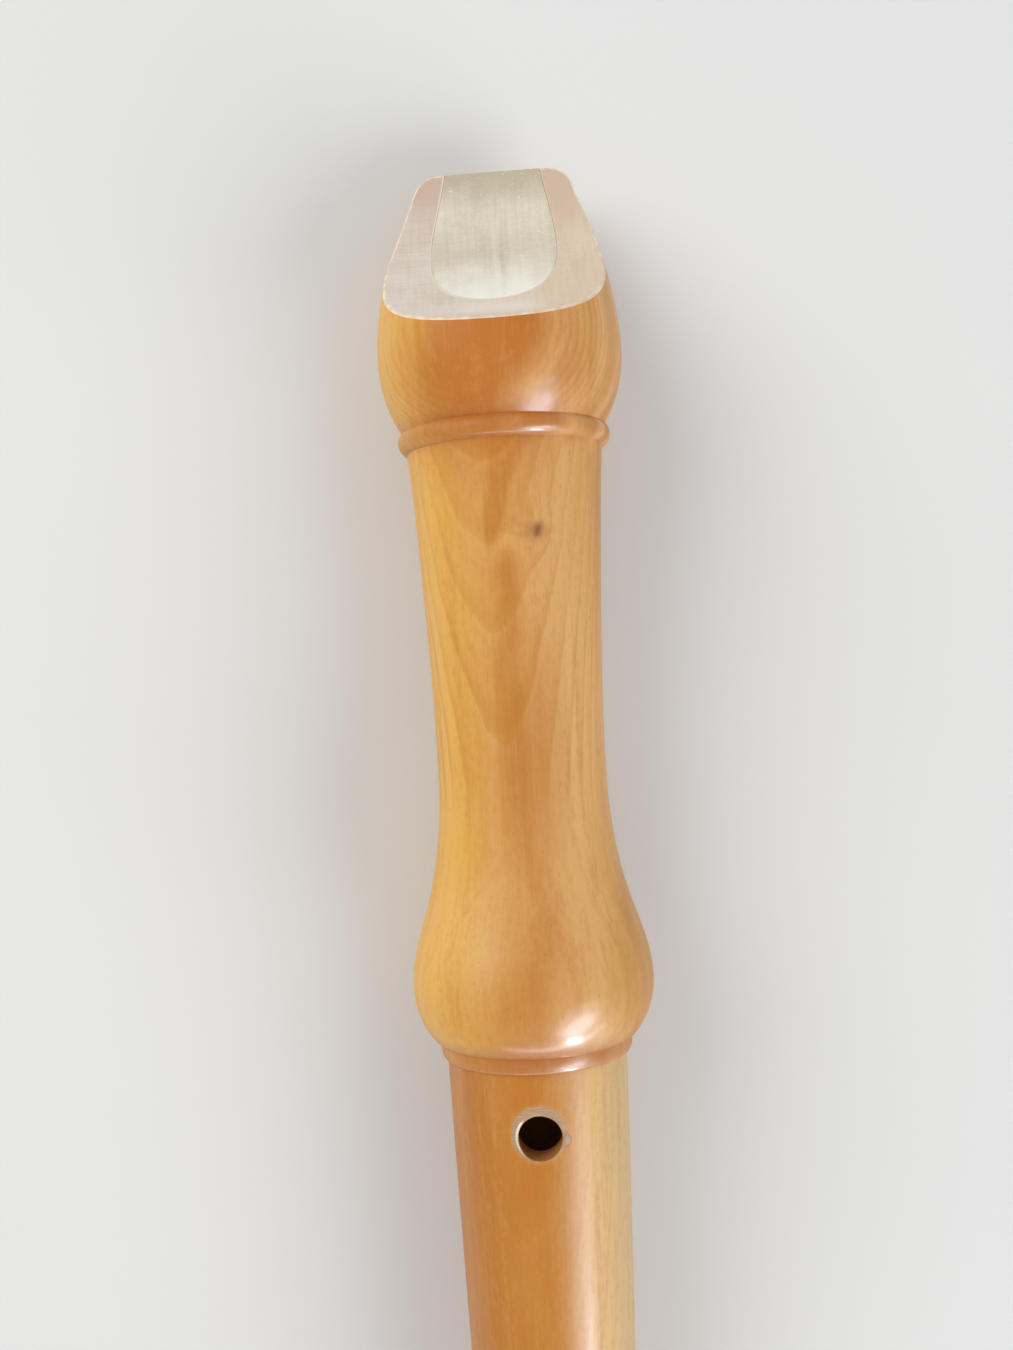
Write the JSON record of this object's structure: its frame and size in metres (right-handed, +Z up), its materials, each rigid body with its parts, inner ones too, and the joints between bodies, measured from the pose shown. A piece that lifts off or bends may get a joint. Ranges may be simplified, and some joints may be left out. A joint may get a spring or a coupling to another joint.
{
  "type": "soprano recorder",
  "caption": "Wooden baroque-style soprano recorder in three turned joints, with a curved beak, thumb hole, finger holes and a flared foot, lying on its front.",
  "frame": {"origin": "centre of the footprint of the recorder lying on its front, on the plane that it lies on", "axes": "+Y along the bore towards the beak, +Z up on the thumb side, +X towards the player's right"},
  "size_m": [0.0324, 0.327, 0.0325],
  "materials": {
    "pear_wood": "satin lacquer",
    "cedar": "bare, sanded",
    "cork": "bare cork, greased"
  },
  "bodies": {
    "middle": {"middle_joint": "pear_wood", "upper_tenon_cork": "cork", "lower_tenon_cork": "cork"},
    "head": {"head_joint": "pear_wood"},
    "block": {"block": "cedar"},
    "foot": {"foot_joint": "pear_wood"}
  },
  "joints": [
    {"name": "head_slide", "type": "slide", "parent": "middle", "child": "head", "axis": [0, 1, 0], "range_m": [0, 0.024]},
    {"name": "block_slide", "type": "slide", "parent": "head", "child": "block", "axis": [0, 1, 0], "range_m": [0, 0.045]},
    {"name": "foot_twist", "type": "hinge", "parent": "middle", "child": "foot", "pos_m": [0, -0.0925, 0.01624], "axis": [0, 1, 0], "continuous": true}
  ]
}
